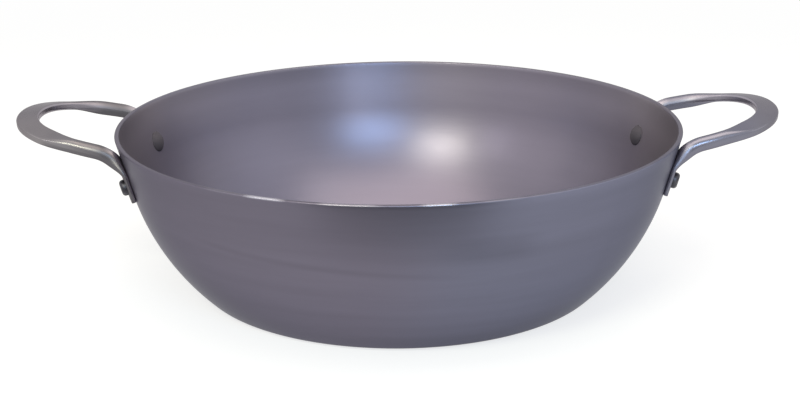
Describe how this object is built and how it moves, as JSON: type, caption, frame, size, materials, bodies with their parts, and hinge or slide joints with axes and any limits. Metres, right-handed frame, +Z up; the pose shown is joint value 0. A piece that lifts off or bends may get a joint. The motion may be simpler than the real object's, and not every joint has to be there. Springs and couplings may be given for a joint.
{
  "type": "frying pan",
  "caption": "Deep round steel frying pan with a flat base, curved belly, flared rim and a riveted loop handle on opposite sides.",
  "frame": {"origin": "centre of the base's underside", "axes": "+Z up out of the bowl, +X towards the right handle, +Y towards the rear"},
  "size_m": [0.4308, 0.32, 0.1011],
  "materials": {
    "body_steel": "satin, dark grey with a faint violet tint",
    "handle_steel": "satin, lighter than the body",
    "rivet_steel": "satin, dark"
  },
  "bodies": {
    "root": {"pan_body": "body_steel", "handle_left": "handle_steel", "handle_right": "handle_steel", "rivet_left_front": "rivet_steel", "rivet_left_rear": "rivet_steel", "rivet_right_front": "rivet_steel", "rivet_right_rear": "rivet_steel"}
  },
  "joints": []
}
